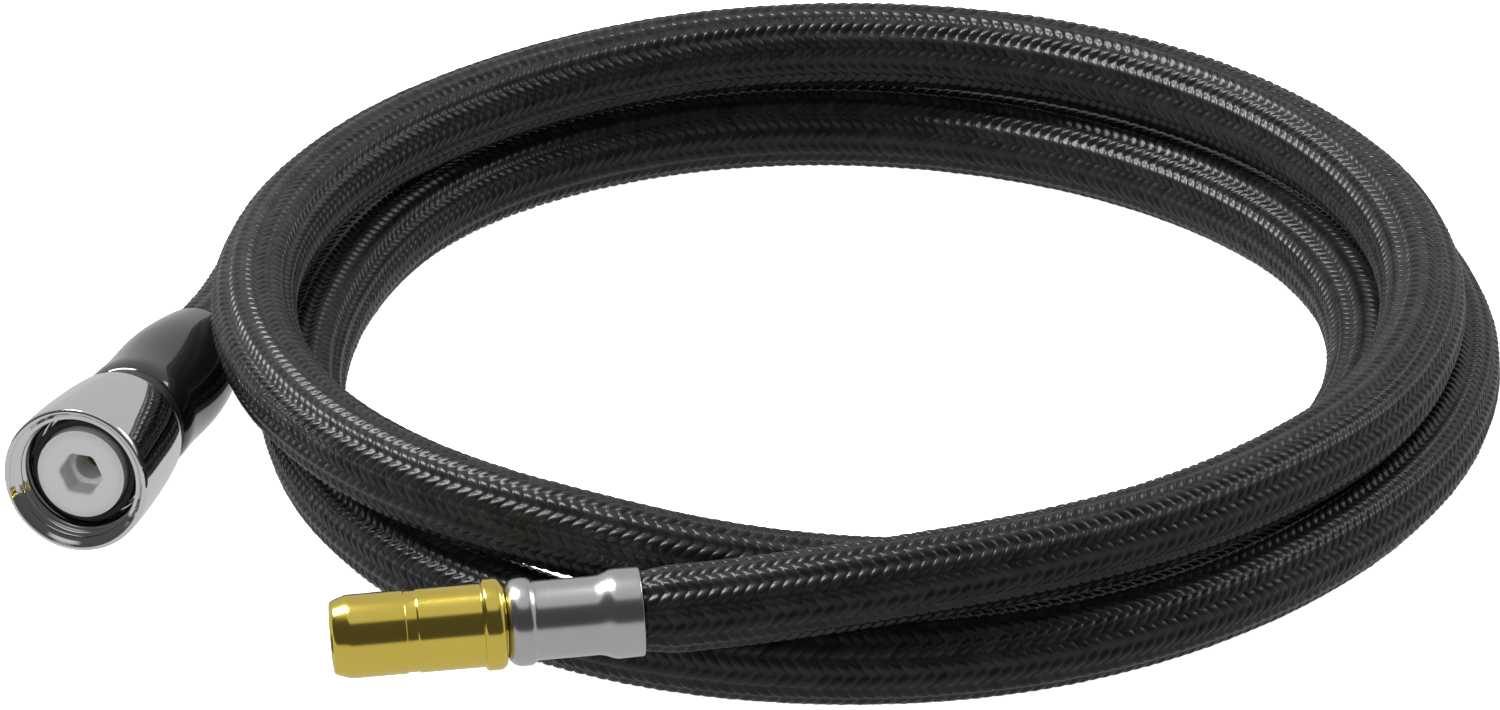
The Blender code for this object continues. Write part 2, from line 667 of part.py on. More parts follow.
def make_swivel_end():
    chrome = material("nut_chrome", (0.82, 0.82, 0.83), 0.06, 1.0)
    brass = material("stem_brass", (0.7, 0.52, 0.2), 0.25, 1.0)
    steel = material("stem_ferrule_steel", (0.62, 0.62, 0.63), 0.3, 1.0)
    spring_steel = material("snap_ring_steel", (0.45, 0.45, 0.46), 0.3, 1.0)
    rubber = material("seal_rubber", (0.015, 0.015, 0.015), 0.6)
    black = material("cone_plastic", (0.01, 0.01, 0.01), 0.12)
    acetal = material("glide_acetal", (0.75, 0.75, 0.72), 0.4)
    washer_front = NIPPLE_FLANGE_INSET - FIT_GAP - WASHER_THICKNESS
    washer_bore = NIPPLE_HEAD_RADIUS + FIT_GAP
    glide_front = THREAD_DEPTH - FIT_GAP - GLIDE_THICKNESS
    washer = ring_outline(washer_front, WASHER_THICKNESS, washer_bore, FLANGE_RADIUS)
    glide = ring_outline(glide_front, GLIDE_THICKNESS, LIP_BORE, FLANGE_RADIUS)
    collar_outside = NUT_BACK_RADIUS - COLLAR_RING_INSET
    collar = ring_outline(COLLAR_RING_FRONT, COLLAR_RING_LENGTH, NUT_BORE, collar_outside)
    turned("union_nut", nut_outline(), swivel_axis, chrome)
    turned("nipple_washer", washer, swivel_axis, rubber)
    turned("glide_washer", glide, swivel_axis, acetal, INNER_SEGMENTS)
    turned("collar_ring", collar, swivel_axis, rubber)
    turned("cone_sleeve", cone_outline(), swivel_axis, black)
    turned("swivel_stem", stem_outline(), swivel_axis, brass, INNER_SEGMENTS)
    skirt_first = backwards(from_skirt(ferrule_outline()))
    turned("stem_ferrule", skirt_first, swivel_axis, steel, INNER_SEGMENTS)
    for label, place in zip(("front", "back"), O_RING_PLACES):
        turned(f"stem_o_ring_{label}", o_ring_outline(place), swivel_axis, rubber, INNER_SEGMENTS)
    make_snap_ring(spring_steel)
    make_nipple()


clear_scene()
plug_axis = axis_empty("plug_axis", PLUG_RIM, PLUG_HEADING, PLUG_RISE)
swivel_axis = axis_empty("swivel_axis", NUT_MOUTH, NUT_HEADING, NUT_RISE)
bpy.context.view_layer.update()
make_braid()
make_liner()
make_plug_end()
make_swivel_end()
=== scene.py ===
"""Visual model of a coiled, braided spray hose with its two end fittings, built on the CAD frame.

Sizes are in millimetres and are turned to metres by MM. Stations along a fitting are counted
from its end of the axis, in the same way as in the CAD source.
"""

import math

import bpy
import numpy as np
from mathutils import Matrix, Vector


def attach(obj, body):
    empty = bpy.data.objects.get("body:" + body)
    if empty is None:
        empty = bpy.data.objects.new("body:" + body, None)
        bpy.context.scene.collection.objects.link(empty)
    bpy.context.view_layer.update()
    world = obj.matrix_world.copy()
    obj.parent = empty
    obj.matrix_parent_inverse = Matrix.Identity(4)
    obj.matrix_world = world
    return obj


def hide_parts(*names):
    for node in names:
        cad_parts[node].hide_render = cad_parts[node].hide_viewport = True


MM = 0.001

# Where the coil and the two fittings lie, as in the CAD source
COIL_CENTRE = np.array([5.0, 13.75, 0.0])
PLUG_RIM = COIL_CENTRE + (2.5, -131.3, 20.4)
PLUG_HEADING, PLUG_RISE = math.radians(202.5), math.radians(-2.8)
NUT_MOUTH = COIL_CENTRE + (-110.4, -96.25, 13.8)
NUT_HEADING, NUT_RISE = math.radians(-90.1), math.radians(4.0)

# Ferrule and plug: stations run from the ferrule's skirt rim towards the plug's nose
HOSE_INSERTION = 18.0  # how far the hose goes into a ferrule
SKIRT_END, SKIRT_RADIUS = 4.9, 7.62
FERRULE_RADIUS = 6.7
BEAD_START, BEAD_RADIUS = 18.1, 7.5
FERRULE_END = 22.9
COLLAR_BACK, COLLAR_LENGTH, COLLAR_RADIUS = 23.2, 3.6, 7.8
PLUG_NOSE, PLUG_RADIUS = 52.4, 7.1
LAND_START, LAND_WIDTH, LAND_RADIUS = 12.35, 2.2, 6.93  # its start is counted back from the nose
TAIL_START, TAIL_RADIUS, TAIL_BORE = 3.0, 3.15, 2.3
BARB_COUNT, BARB_RADIUS = 4, 3.6

# Nut end: stations run back from the nut's mouth
NUT_LENGTH, NUT_RADIUS = 26.0, 12.95
NUT_BACK_RADIUS, NUT_BACK_BORE = 10.2, 9.0
LIP_FRONT, LIP_BACK, LIP_BORE = 10.8, 13.2, 7.5
NIPPLE_FRONT, NIPPLE_BACK, NIPPLE_BORE = 3.1, 29.8, 5.05
NIPPLE_HEAD_RADIUS, NIPPLE_NECK_RADIUS = 7.85, 7.2
FLANGE_FRONT, FLANGE_BACK, FLANGE_RADIUS = 7.4, 9.4, 9.2
SOCKET_FLATS, SOCKET_FLOOR = 6.8, 8.1
SOCKET_TURN = math.radians(-2)
SOCKET_CORNER = 0.95  # share of a sharp corner's distance that the rounded corner keeps
THREAD_START, THREAD_END, THREAD_PITCH = 1.2, 10.0, 1.814
THREAD_CREST = 9.9
THREAD_FLARE = 0.9  # how much wider the first turn is than the full thread
THREAD_FULL = 6.6  # where the flare ends
THREAD_HEIGHT = 0.72
SPIGOT_FRONT, CONE_FRONT, CONE_BACK = 24.3, 29.7, 66.0
CONE_RADIUS, CONE_CAVITY, CONE_TAIL_BORE = 10.2, 8.6, 7.9
STEM_FERRULE_RIM = 54.6

# Hose
BRAID_PEAK = 7.58  # radius over the crowns of the strands
BRAID_BORE = 6.4
SKIRT_SQUEEZE = 0.75
CRIMP_SQUEEZE = 1.75
SETTLE_LENGTH = 5.0
SQUEEZE_SKIRT_END, SQUEEZE_FULL = 4.3, 7.2  # how far into a ferrule each squeeze is reached
FRAME_REACH = 1.5  # half the stretch that gives the hose's direction at a point
INSIDE_STEP = 12.0  # between rings of the sleeve's inner wall

# Braid: strands of each family cross a column each, two over and two under
COLUMNS = 16
STRAND_PITCH = 2.06
STRAND_WAVE = 0.5  # how far a strand's middle moves in and out
STRAND_CROWN = 0.3  # its thickness above its own edge
POINTS_PER_COLUMN = 5
RING_PLACES = (0.0, 0.11, 0.39, 0.5, 0.61, 0.89)  # shares of a pitch
COLUMN_TWIST = math.radians(4)
BUNDLE_POWER = 2.4  # 2 gives a round strand, and more a flatter one
LIFT_SPREAD = 0.02  # how unevenly the strands lie
FILAMENTS = 7  # ridges across a strand
MAP_STRIPS = 8  # the long hose is laid out in this many strips for baking

# The hose from plug to nut: angle round the coil in degrees, distance from its centre, height
ROUTE = (
    (-75, 122.6, 22.6),
    (-60, 116.2, 23.7),
    (-45, 111.6, 23.9),
    (-30, 107.0, 23.6),
    (-15, 103.8, 23.0),
    (0, 101.3, 23.1),
    (30, 99.4, 23.8),
    (60, 101.2, 23.9),
    (90, 105.8, 23.3),
    (120, 106.0, 23.2),
    (150, 102.6, 23.3),
    (165, 102.2, 23.5),
    (180, 102.8, 23.3),
    (210, 105.4, 23.1),
    (240, 109.4, 23.2),
    (255, 109.4, 22.5),
    (262, 108.4, 21.5),
    (270, 107.0, 19.6),
    (285, 102.6, 15.3),
    (300, 98.6, 12.4),
    (330, 92.6, 9.2),
    (360, 90.4, 8.7),
    (390, 92.0, 9.3),
    (420, 97.0, 8.4),
    (450, 103.8, 7.6),
    (480, 106.9, 7.6),
    (510, 102.8, 7.6),
    (540, 95.4, 7.9),
    (570, 97.6, 7.9),
    (600, 107.4, 7.6),
    (630, 117.4, 7.6),
    (660, 117.6, 7.6),
    (690, 109.6, 7.6),
    (720, 105.9, 7.6),
    (750, 107.8, 7.6),
    (780, 114.6, 7.6),
    (810, 122.2, 7.6),
    (840, 123.4, 7.6),
    (870, 119.8, 7.65),
    (885, 115.9, 7.85),
)

# Camera: where it looks, from which side and how far off
LOOK_AT = COIL_CENTRE + (-23.3, 16.2, 0.0)
CAMERA_SIDE = np.array([0.2645, -0.8707, 0.4147])
CAMERA_DISTANCE = 3000.0
CAMERA_LENS = 408.0

# Brightness of the studio as the pieces see it: below, behind, in front and overhead
TABLE_LEVEL = 0.6
SWEEP_LEVEL = 0.55
ROOM_LEVEL = 0.08
OVERHEAD_LEVEL = 0.62

FLOOR_WIDTH = 6.0  # metres
LIGHT_AIM = (-0.01, 0.02, 0.01)  # metres, near the middle of the coil

SEGMENTS = 144  # round a turned piece
SHARP_ANGLE = math.radians(38)  # steeper edges of a turned piece are shaded as edges


# ---------------------------------------------------------------- small helpers


def axis_matrix(start, heading, rise):
    turn = Matrix.Rotation(heading, 4, "Z") @ Matrix.Rotation(-rise, 4, "Y")
    return Matrix.Translation(Vector(start) * MM) @ turn


PLUG_AXIS = axis_matrix(PLUG_RIM, PLUG_HEADING, PLUG_RISE)
NUT_AXIS = axis_matrix(NUT_MOUTH, NUT_HEADING, NUT_RISE)


def outward(matrix):
    return np.array(matrix.to_3x3() @ Vector((1, 0, 0)))


def grid_mesh(name, points, maps=None):
    """A mesh from rows x columns x 3 points in metres. Rows and columns close on themselves."""
    rows, columns = points.shape[:2]
    mesh = bpy.data.meshes.new(name)
    mesh.vertices.add(rows * columns)
    mesh.vertices.foreach_set("co", points.astype(np.float32).ravel())
    near = np.arange(rows)[:, None]
    far = (near + 1) % rows
    here = np.arange(columns)[None, :]
    after = (here + 1) % columns
    corners = [near * columns + here, near * columns + after]
    corners += [far * columns + after, far * columns + here]
    quads = np.stack(corners, axis=-1).reshape(-1, 4)
    mesh.loops.add(quads.size)
    mesh.loops.foreach_set("vertex_index", quads.astype(np.int32).ravel())
    mesh.polygons.add(len(quads))
    mesh.polygons.foreach_set("loop_start", np.arange(0, quads.size, 4, dtype=np.int32))
    mesh.update(calc_edges=True)
    for label, values in (maps or {}).items():
        layer = mesh.uv_layers.new(name=label, do_init=False)
        layer.uv.foreach_set("vector", values.astype(np.float32).ravel())
    mesh.shade_smooth()
    return mesh


def add_piece(name, mesh, finish, body, matrix=None, stands_for=()):
    piece = bpy.data.objects.new(name, mesh)
    bpy.context.scene.collection.objects.link(piece)
    mesh.materials.append(finish)
    if matrix is not None:
        piece.matrix_world = matrix
    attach(piece, body)
    if stands_for:
        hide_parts(*stands_for)
    return piece


def rounded(corners, steps=4):
    """A closed outline whose corners (station, radius, fillet) are rounded off."""
    outline = []
    count = len(corners)
    for k, (x, y, *fillet) in enumerate(corners):
        corner = np.array([x, y], float)
        if not fillet:
            outline.append(corner)
            continue
        before = np.array(corners[k - 1][:2], float) - corner
        after = np.array(corners[(k + 1) % count][:2], float) - corner
        reach_before = min(fillet[0], 0.48 * np.linalg.norm(before))
        reach_after = min(fillet[0], 0.48 * np.linalg.norm(after))
        start = corner + before / np.linalg.norm(before) * reach_before
        end = corner + after / np.linalg.norm(after) * reach_after
        for t in np.linspace(0, 1, steps + 1):
            outline.append((1 - t) ** 2 * start + 2 * t * (1 - t) * corner + t**2 * end)
    return np.array(outline)


def turned_points(outline, radius_change=None):
    """Points of an outline (station, radius) turned round X; radius_change(x, angle) adds to it."""
    angles = np.linspace(0, 2 * np.pi, SEGMENTS, endpoint=False)
    station = np.repeat(outline[:, :1], SEGMENTS, axis=1)
    radius = np.repeat(outline[:, 1:2], SEGMENTS, axis=1)
    if radius_change is not None:
        radius = radius + radius_change(station, radius, angles[None, :])
    points = np.stack([station, radius * np.cos(angles), radius * np.sin(angles)], axis=-1)
    return points * MM


def turned_mesh(name, outline, radius_change=None):
    mesh = grid_mesh(name, turned_points(outline, radius_change))
    mesh.set_sharp_from_angle(angle=SHARP_ANGLE)
    return mesh


def backwards(outline):
    """Nut-end stations run back from the mouth, against the axis."""
    return np.array(outline, float) * (-1, 1)


# ---------------------------------------------------------------- materials


def shader_tree(name, colour, roughness, metallic=0.0):
    made = bpy.data.materials.new(name)
    made.use_nodes = True
    tree = made.node_tree
    shader = tree.nodes["Principled BSDF"]
    shader.inputs["Base Color"].default_value = (*colour, 1)
    shader.inputs["Roughness"].default_value = roughness
    shader.inputs["Metallic"].default_value = metallic
    return made, tree, shader


def add_node(tree, kind, **settings):
    """A node. Capitalised settings and in0, in1... are its inputs; the others are properties."""
    made = tree.nodes.new(kind)
    inputs = {}
    for key, value in settings.items():
        if key[:2] == "in" and key[2:].isdigit():
            inputs[int(key[2:])] = value
        elif key[0].isupper():
            inputs[key] = value
        else:
            setattr(made, key, value)
    for key, value in inputs.items():
        if isinstance(value, bpy.types.NodeSocket):
            tree.links.new(value, made.inputs[key])
        else:
            made.inputs[key].default_value = value
    return made


def maths(tree, operation, a, b=0.0):
    return add_node(tree, "ShaderNodeMath", operation=operation, in0=a, in1=b).outputs[0]


def varied_roughness(tree, shader, noise, base, spread):
    """Roughness that goes from base to base + spread as the noise goes from 0 to 1."""
    made = add_node(tree, "ShaderNodeMath", operation="MULTIPLY_ADD", in0=noise, in1=spread, in2=base)
    tree.links.new(made.outputs[0], shader.inputs["Roughness"])


def bump(tree, shader, height, distance, strength=1.0):
    made = add_node(tree, "ShaderNodeBump", Height=height, Distance=distance, Strength=strength)
    tree.links.new(made.outputs["Normal"], shader.inputs["Normal"])


def scaled_noise(tree, vector, scale, detail=2.0, roughness=0.5):
    made = add_node(tree, "ShaderNodeTexNoise", Vector=vector, Scale=scale, Detail=detail,
                    Roughness=roughness)
    return made.outputs["Fac"]


def object_place(tree):
    return add_node(tree, "ShaderNodeTexCoord").outputs["Object"]


def lathe_place(tree):
    """(station, radius, 0) of a point of a turned piece, so that noise makes turning rings."""
    place = add_node(tree, "ShaderNodeSeparateXYZ", Vector=object_place(tree))
    across = add_node(tree, "ShaderNodeCombineXYZ", Y=place.outputs["Y"], Z=place.outputs["Z"])
    radius = add_node(tree, "ShaderNodeVectorMath", operation="LENGTH", in0=across.outputs[0])
    made = add_node(tree, "ShaderNodeCombineXYZ", X=place.outputs["X"], Y=radius.outputs["Value"])
    return made.outputs[0]


def mixed_colour(tree, factor, first, second):
    """Sockets 6, 7 and the output 2 of a Mix node are its two colours and their mix."""
    made = add_node(tree, "ShaderNodeMix", data_type="RGBA", in6=(*first, 1), in7=(*second, 1))
    tree.links.new(factor, made.inputs["Factor"])
    return made.outputs[2]


def braid_nylon():
    """Black monofilament: each strand is a flat bundle of fine parallel filaments."""
    made, tree, shader = shader_tree("braid_nylon", (0.012, 0.012, 0.013), 0.28)
    shader.inputs["Specular IOR Level"].default_value = 0.25
    place = add_node(tree, "ShaderNodeUVMap", uv_map="strands")
    split = add_node(tree, "ShaderNodeSeparateXYZ", Vector=place.outputs["UV"])
    ridge = maths(tree, "SINE", maths(tree, "MULTIPLY", split.outputs["Y"], 2 * math.pi * FILAMENTS))
    grain = scaled_noise(tree, object_place(tree), 900.0)
    height = maths(tree, "ADD", maths(tree, "MULTIPLY", ridge, 0.5), grain)
    bump(tree, shader, height, 0.00003, 0.25)
    column = maths(tree, "FLOOR", split.outputs["X"])
    strand = maths(tree, "FLOOR", maths(tree, "ADD", split.outputs["Y"], 0.5))
    cell = add_node(tree, "ShaderNodeCombineXYZ", X=column, Y=strand)
    chance = add_node(tree, "ShaderNodeTexWhiteNoise", noise_dimensions="2D",
                      Vector=cell.outputs[0]).outputs["Value"]
    colour = mixed_colour(tree, chance, (0.009, 0.009, 0.0095), (0.019, 0.019, 0.0195))
    tree.links.new(colour, shader.inputs["Base Color"])
    varied_roughness(tree, shader, grain, 0.21, 0.14)
    return made


def turned_metal(name, colour, second, roughness, ring_scale, ring_depth):
    """Metal with fine turning rings and a slight change of colour and polish along it."""
    made, tree, shader = shader_tree(name, colour, roughness, 1.0)
    place = lathe_place(tree)
    rings = scaled_noise(tree, place, ring_scale, 3.0, 0.6)
    bump(tree, shader, rings, ring_depth)
    wear = scaled_noise(tree, object_place(tree), 220.0, 4.0, 0.6)
    tree.links.new(mixed_colour(tree, wear, colour, second), shader.inputs["Base Color"])
    blend = maths(tree, "ADD", maths(tree, "MULTIPLY", rings, 0.5), maths(tree, "MULTIPLY", wear, 0.5))
    varied_roughness(tree, shader, blend, roughness * 0.7, roughness * 0.6)
    return made


def moulded_plastic(name, colour, second, roughness, grain_scale, grain_depth, coat=0.0):
    """Plastic or rubber with a fine grain, which also shifts its colour and roughness a little."""
    made, tree, shader = shader_tree(name, colour, roughness)
    shader.inputs["Coat Weight"].default_value = coat
    shader.inputs["Coat Roughness"].default_value = 0.04
    grain = scaled_noise(tree, object_place(tree), grain_scale, 3.0, 0.55)
    bump(tree, shader, grain, grain_depth)
    tree.links.new(mixed_colour(tree, grain, colour, second), shader.inputs["Base Color"])
    varied_roughness(tree, shader, grain, roughness * 0.75, roughness * 0.5)
    return made


# ---------------------------------------------------------------- the hose


def smooth_curve(points, samples_per_span):
    """Points along the natural cubic spline through the given points."""
    spans = np.linalg.norm(np.diff(points, axis=0), axis=1)
    count = len(points)
    system = np.eye(count)
    target = np.zeros((count, 3))
    for i in range(1, count - 1):
        before, after = spans[i - 1], spans[i]
        system[i, i - 1 : i + 2] = before, 2 * (before + after), after
        slope_after = (points[i + 1] - points[i]) / after
        slope_before = (points[i] - points[i - 1]) / before
        target[i] = 6 * (slope_after - slope_before)
    bends = np.linalg.solve(system, target)
    curve = []
    for i in range(count - 1):
        for t in np.linspace(0, 1, samples_per_span, endpoint=False):
            a, b = 1 - t, t
            bend = (a**3 - a) * bends[i] + (b**3 - b) * bends[i + 1]
            curve.append(a * points[i] + b * points[i + 1] + bend * spans[i] ** 2 / 6)
    curve.append(points[-1])
    return np.array(curve)


def free_route():
    """The route's own points, from the plug's ferrule to the cone's tail."""
    points = [PLUG_RIM - outward(PLUG_AXIS) * ahead for ahead in (0, 9)]
    for degrees, distance, height in ROUTE:
        angle = math.radians(degrees)
        flat = np.array([math.cos(angle), math.sin(angle), 0]) * distance
        points.append(COIL_CENTRE + flat + (0, 0, height))
    points += [NUT_MOUTH - outward(NUT_AXIS) * (CONE_BACK + ahead) for ahead in (18, 0)]
    return np.array(points)


class Centreline:
    """The hose's middle line, read by the distance along it from its cut end in the plug."""

    def __init__(self):
        plug, nut = outward(PLUG_AXIS), outward(NUT_AXIS)
        hose_end = STEM_FERRULE_RIM - HOSE_INSERTION
        ahead = np.linspace(HOSE_INSERTION, 1.0, 12)[:, None]
        into_plug = PLUG_RIM + plug * ahead
        behind = np.linspace(CONE_BACK - 1.0, hose_end, 24)[:, None]
        into_cone = NUT_MOUTH - nut * behind
        points = np.concatenate([into_plug, smooth_curve(free_route(), 40), into_cone])
        steps = np.linalg.norm(np.diff(points, axis=0), axis=1)
        self.places = np.concatenate([[0], np.cumsum(steps)])
        self.points = points
        self.length = self.places[-1]

    def at(self, distance):
        columns = [np.interp(distance, self.places, self.points[:, k]) for k in range(3)]
        return np.stack(columns, axis=-1)

    def frame_at(self, distance):
        """Centre, side and up at each distance; side is level."""
        ahead = self.at(distance + FRAME_REACH) - self.at(distance - FRAME_REACH)
        ahead /= np.linalg.norm(ahead, axis=-1, keepdims=True)
        side = np.cross(ahead, (0, 0, 1.0))
        side /= np.linalg.norm(side, axis=-1, keepdims=True)
        return self.at(distance), side, np.cross(side, ahead)

    def squeeze(self, distance):
        """How much the crimps narrow the hose at a distance along it."""
        into = HOSE_INSERTION - np.minimum(distance, self.length - distance)
        steps = (-SETTLE_LENGTH, 0.0, SQUEEZE_SKIRT_END, SQUEEZE_FULL, HOSE_INSERTION)
        amounts = (0, SKIRT_SQUEEZE, SKIRT_SQUEEZE, CRIMP_SQUEEZE, CRIMP_SQUEEZE)
        return np.interp(into, steps, amounts)


def strand_height(across, along, lift):
    """Surface of the braid over its lowest level, at columns across and pitches along."""
    column = np.floor(across)
    x = across - column - 0.5
    other = along - np.where(column % 2 == 0, 2 * x, -2 * x) + 0.5
    wave = STRAND_WAVE * np.cos(np.pi * x)
    upper = wave + STRAND_CROWN * bundle_profile(along)
    lower = -wave + STRAND_CROWN * bundle_profile(other)
    return STRAND_WAVE + np.maximum(upper, lower) + lift


def bundle_profile(place):
    """Cross-section of a flat bundle: 1 over its middle, 0 at its edges."""
    off = np.abs((place + 0.5) % 1.0 - 0.5) * 2
    return (1 - np.minimum(off, 1.0) ** BUNDLE_POWER) ** (1 / BUNDLE_POWER)


def braid_points(line):
    """Rings of the woven surface. Each ring zigzags along the strands of both families."""
    count = int(line.length / STRAND_PITCH) - 1
    phase = (np.arange(count)[:, None] + np.array(RING_PLACES)[None, :]).ravel()
    across = np.arange(COLUMNS * POINTS_PER_COLUMN) / POINTS_PER_COLUMN
    column = np.floor(across)
    x = across - column - 0.5
    zigzag = np.where(column % 2 == 0, -x, x)
    # Odd columns are half a pitch on, so their crowns lie beside the gaps of the even ones
    own = phase[:, None] + np.where(column % 2 == 0, 0.0, 0.5)[None, :]
    distance = (phase[:, None] + zigzag[None, :] + 1.0) * STRAND_PITCH
    distance = np.clip(distance, 0.0, line.length)
    rng = np.random.default_rng(7)
    lift = rng.normal(0, LIFT_SPREAD, (count + 2, COLUMNS))
    lift_at = lift[np.floor(own + 0.5).astype(int), column.astype(int)[None, :]]
    height = strand_height(across[None, :], own, lift_at * bundle_profile(own))
    peak = 2 * STRAND_WAVE + STRAND_CROWN
    radius = BRAID_PEAK - peak - line.squeeze(distance) + height
    centre, side, up = line.frame_at(distance)
    angle = 2 * np.pi * across / COLUMNS + COLUMN_TWIST
    around = np.cos(angle)[None, :, None] * side + np.sin(angle)[None, :, None] * up
    return centre + radius[..., None] * around, own


def sleeve_inside(line, sides):
    """The sleeve's inner wall, from the far end back to the start."""
    distance = np.arange(line.length - STRAND_PITCH, STRAND_PITCH, -INSIDE_STEP)
    centre, side, up = line.frame_at(distance)
    angle = 2 * np.pi * np.arange(sides) / sides + COLUMN_TWIST
    radius = BRAID_BORE - line.squeeze(distance)
    spoke = np.cos(angle)[None, :, None] * side[:, None] + np.sin(angle)[None, :, None] * up[:, None]
    return centre[:, None] + radius[:, None, None] * spoke


def braid_maps(rows, columns, own):
    """Two maps: strands holds column and pitch; OFBake lays the hose out in strips."""
    near = np.repeat(np.arange(rows), columns)
    here = np.tile(np.arange(columns), rows)
    corner_rows = np.stack([near, near, near + 1, near + 1], axis=1)
    corner_columns = np.stack([here, here + 1, here + 1, here], axis=1)
    # Each face keeps to its own column, so that a strand's value doesn't jump inside it
    pitch = np.concatenate([own[:, 0], np.zeros(rows - len(own))])
    pitch = np.append(pitch, pitch[0])
    column = np.floor(here / POINTS_PER_COLUMN)
    half = np.where(column % 2 == 0, 0.0, 0.5)[:, None]
    strands = np.stack([corner_columns / POINTS_PER_COLUMN * (1 - 1e-6),
                        pitch[corner_rows] + half], axis=-1)
    per_strip = math.ceil(rows / MAP_STRIPS)
    strip = (near // per_strip)[:, None]
    u = (corner_rows - strip * per_strip) / per_strip * 0.998 + 0.001
    v = (strip + 0.02 + 0.96 * corner_columns / columns) / MAP_STRIPS
    return {"strands": strands, "OFBake": np.stack([u, v], axis=-1)}


def make_hose(finish):
    line = Centreline()
    outside, own = braid_points(line)
    inside = sleeve_inside(line, outside.shape[1])
    points = np.concatenate([outside, inside]) * MM
    maps = braid_maps(len(points), outside.shape[1], own)
    mesh = grid_mesh("braid_sleeve", points, maps)
    piece = add_piece("braid_sleeve", mesh, finish, "hose", None, ["hose_braid"])
    return piece, line


# ---------------------------------------------------------------- plug end


def ferrule_outline():
    outer = [
        (0.0, SKIRT_RADIUS - 0.07, 0.5),
        (SKIRT_END, SKIRT_RADIUS, 0.8),
        (SKIRT_END + 2.2, FERRULE_RADIUS, 0.9),
        (BEAD_START, FERRULE_RADIUS + 0.02, 0.5),
        (BEAD_START + 0.8, BEAD_RADIUS - 0.05, 0.8),
        (FERRULE_END - 1.3, BEAD_RADIUS, 1.3),
        (FERRULE_END, 6.2, 0.6),
    ]
    bore = FERRULE_RADIUS - 0.55
    inner = [
        (FERRULE_END, 5.75, 0.2),
        (FERRULE_END - 0.8, 5.75),
        (FERRULE_END - 1.5, 6.4, 0.6),
        (BEAD_START + 1.3, 6.7, 0.6),
        (BEAD_START + 0.3, bore),
        (SKIRT_END + 2.1, bore),
        (SKIRT_END - 0.5, SKIRT_RADIUS - 0.62),
        (0.0, SKIRT_RADIUS - 0.62, 0.2),
    ]
    return rounded(outer + inner, 6)


def barbs():
    """Saw-toothed rings of the plug's tail, which hold the hose's liner."""
    pitch = (HOSE_INSERTION + 0.6 - TAIL_START) / (BARB_COUNT + 1)
    points = []
    for index in range(BARB_COUNT):
        start = TAIL_START + index * pitch
        points += [
            (start, TAIL_RADIUS, 0.1),
            (start + 0.9 * pitch, BARB_RADIUS, 0.08),
            (start + 0.95 * pitch, TAIL_RADIUS),
        ]
    return points


def plug_outline():
    collar_front = COLLAR_BACK + COLLAR_LENGTH
    land_front = PLUG_NOSE - LAND_START
    land_back = land_front - LAND_WIDTH
    neck = 5.4
    bore = 4.4
    outer = [
        (HOSE_INSERTION + 0.6, neck),
        (COLLAR_BACK - 0.1, neck),
        (COLLAR_BACK, PLUG_RADIUS - 0.05, 0.25),
        (COLLAR_BACK + 0.8, COLLAR_RADIUS, 0.55),
        (collar_front - 0.35, COLLAR_RADIUS, 0.3),
        (collar_front, 7.45, 0.15),
        (collar_front + 0.15, PLUG_RADIUS + 0.02, 0.12),
        (land_back, PLUG_RADIUS + 0.02, 0.12),
        (land_back + 0.2, LAND_RADIUS, 0.05),
        (land_front - 0.2, LAND_RADIUS, 0.05),
        (land_front, PLUG_RADIUS, 0.12),
        (PLUG_NOSE - 2.9, PLUG_RADIUS, 0.35),
        (PLUG_NOSE - 0.4, 6.3, 0.35),
        (PLUG_NOSE, 5.9, 0.25),
    ]
    inner = [
        (PLUG_NOSE, bore + 0.5, 0.35),
        (PLUG_NOSE - 0.8, bore, 0.3),
        (PLUG_NOSE - 9.5, bore),
        (PLUG_NOSE - 10.7, TAIL_BORE),
        (TAIL_START, TAIL_BORE),
        (TAIL_START, TAIL_RADIUS - 0.15),
    ]
    return rounded(inner + barbs() + outer, 5)


def make_plug_end():
    brass = turned_metal("plug_brass", (0.84, 0.66, 0.13), (0.79, 0.61, 0.11), 0.15, 2600.0, 0.000004)
    steel = turned_metal("ferrule_steel", (0.58, 0.58, 0.59), (0.52, 0.52, 0.53), 0.22, 1500.0, 0.000004)
    mesh = turned_mesh("plug_turning", plug_outline())
    plug = add_piece("plug_turning", mesh, brass, "hose", PLUG_AXIS, ["plug"])
    mesh = turned_mesh("plug_crimp", ferrule_outline())
    ferrule = add_piece("plug_crimp", mesh, steel, "hose", PLUG_AXIS, ["plug_ferrule"])
    return [plug, ferrule]


# ---------------------------------------------------------------- nut end


def thread_crest(station):
    """Radius of the thread's crests: the first turns open out towards the mouth."""
    share = np.clip((THREAD_FULL - station) / (THREAD_FULL - THREAD_START), 0, 1)
    return THREAD_CREST + THREAD_FLARE * share


def smooth_profile(points, samples_per_span):
    """A smooth line through (station, radius) points."""
    flat = np.zeros((len(points), 3))
    flat[:, :2] = points
    return smooth_curve(flat, samples_per_span)[:, :2]


